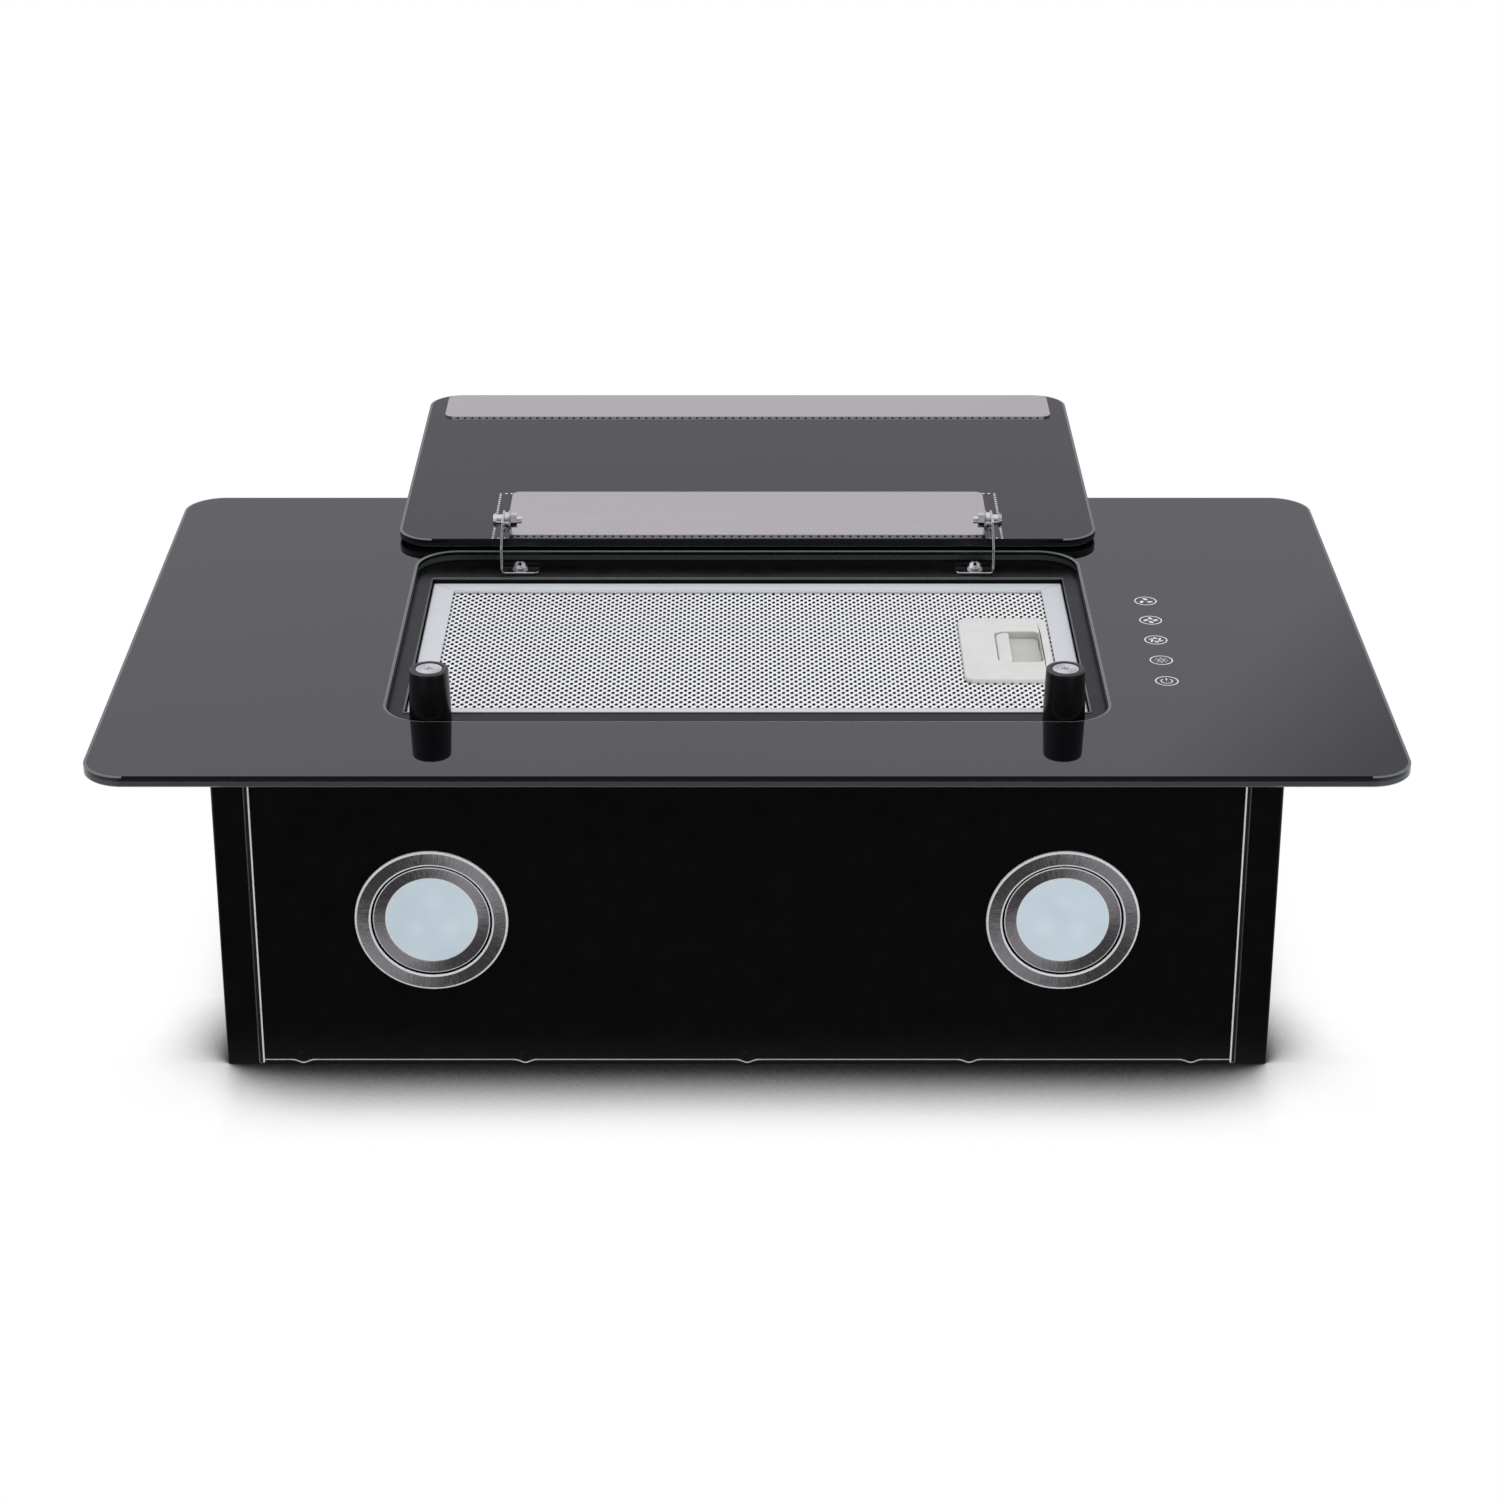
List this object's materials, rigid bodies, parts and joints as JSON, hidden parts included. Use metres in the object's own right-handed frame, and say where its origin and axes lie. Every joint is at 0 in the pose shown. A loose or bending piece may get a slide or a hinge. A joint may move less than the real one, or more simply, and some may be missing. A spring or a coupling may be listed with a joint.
{
  "type": "wall mount range hood",
  "caption": "Slim glass-front wall hood lying on its back, with a folded-back glass flap over a mesh grease filter, touch keys, round lamps and a top duct collar.",
  "frame": {"origin": "middle of the back plate's wall face", "axes": "+Z away from the wall, through the glass front; +Y up the wall towards the duct; +X to the right of someone facing the hung hood"},
  "size_m": [0.6, 0.5213, 0.176],
  "materials": {
    "black_glass": "back-painted black float glass",
    "black_steel": "black powder coat",
    "galvanised_steel": "zinc coated",
    "brushed_steel": "fine brushed",
    "polished_steel": "polished",
    "zinc_fastener": "zinc plated",
    "black_plastic": "satin",
    "ivory_plastic": "satin",
    "filter_aluminium": "mill finish",
    "filter_mesh": "expanded mesh",
    "frosted_lens": "frosted",
    "magnet_metal": "nickel plated",
    "wheel_plastic": "moulded",
    "scroll_steel": "zinc coated",
    "motor_steel": "plain",
    "shaft_steel": "ground",
    "stator_iron": "laminated and varnished",
    "bearing_bronze": "sintered",
    "bush_rubber": "moulded",
    "board_green": "solder mask",
    "grey_plastic": "satin",
    "duct_plastic": "moulded"
  },
  "bodies": {
    "hood": {"back_plate": "galvanised_steel", "bracket_screws": "zinc_fastener", "cable_gland": "black_plastic", "case_rivets": "black_steel", "case_screws": "zinc_fastener", "collar_screws": "zinc_fastener", "control_board": "board_green", "control_box": "grey_plastic", "control_box_cover": "grey_plastic", "diode_boards": "board_green", "duct_collar": "duct_plastic", "filter_seat": "black_steel", "front_plate": "black_steel", "glass_panel": "black_glass", "hinge_bracket_left": "polished_steel", "hinge_bracket_right": "polished_steel", "lamp_driver": "grey_plastic", "light_bezel_left": "brushed_steel", "light_bezel_right": "brushed_steel", "light_clips": "shaft_steel", "light_housing_left": "grey_plastic", "light_housing_right": "grey_plastic", "light_lens_left": "frosted_lens", "light_lens_right": "frosted_lens", "light_panel": "black_steel", "motor_bearings": "bearing_bronze", "motor_bushes": "bush_rubber", "motor_can": "motor_steel", "motor_flange": "motor_steel", "motor_stator": "stator_iron", "post_magnets": "magnet_metal", "post_screws": "zinc_fastener", "rest_post_left": "black_plastic", "rest_post_right": "black_plastic", "run_capacitor": "grey_plastic", "scroll_housing": "scroll_steel", "scroll_inlet_plate": "scroll_steel", "side_panel_left": "black_steel", "side_panel_right": "black_steel", "top_panel": "black_steel", "touch_board": "board_green", "touch_pads": "bush_rubber"},
    "flap": {"flap_glass": "black_glass", "hinge_plate": "brushed_steel", "magnet_strip": "brushed_steel", "pivot_bolts": "zinc_fastener", "pivot_nuts": "zinc_fastener", "pivot_washers": "zinc_fastener"},
    "filter": {"filter_back_mesh": "filter_mesh", "filter_core": "filter_mesh", "filter_frame": "filter_aluminium", "filter_front_mesh": "filter_mesh", "filter_handle": "ivory_plastic"},
    "latch": {"filter_latch": "ivory_plastic"},
    "wheel": {"impeller": "wheel_plastic", "impeller_nut": "zinc_fastener", "motor_rotor": "stator_iron", "motor_shaft": "shaft_steel"},
    "leaf_left": {"damper_leaf_left": "grey_plastic"},
    "leaf_right": {"damper_leaf_right": "grey_plastic"}
  },
  "joints": [
    {"name": "flap_hinge", "type": "hinge", "parent": "hood", "child": "flap", "pos_m": [0, 0.1082, 0.1685], "axis": [1, 0, 0], "range_deg": [0, 180]},
    {"name": "filter_lift", "type": "slide", "parent": "hood", "child": "filter", "axis": [0, 0, 1], "range_m": [0, 0.025]},
    {"name": "latch_slide", "type": "slide", "parent": "filter", "child": "latch", "axis": [1, 0, 0], "range_m": [0, 0.005]},
    {"name": "wheel_spin", "type": "hinge", "parent": "hood", "child": "wheel", "pos_m": [-0.064, -0.02, 0.07], "axis": [0, 0, 1], "continuous": true},
    {"name": "leaf_left_swing", "type": "hinge", "parent": "hood", "child": "leaf_left", "pos_m": [-0.0036, 0.1815, 0.072], "axis": [0, 0, -1], "range_deg": [0, 78]},
    {"name": "leaf_right_swing", "type": "hinge", "parent": "hood", "child": "leaf_right", "pos_m": [0.0036, 0.1815, 0.072], "axis": [0, 0, 1], "range_deg": [0, 78]}
  ]
}
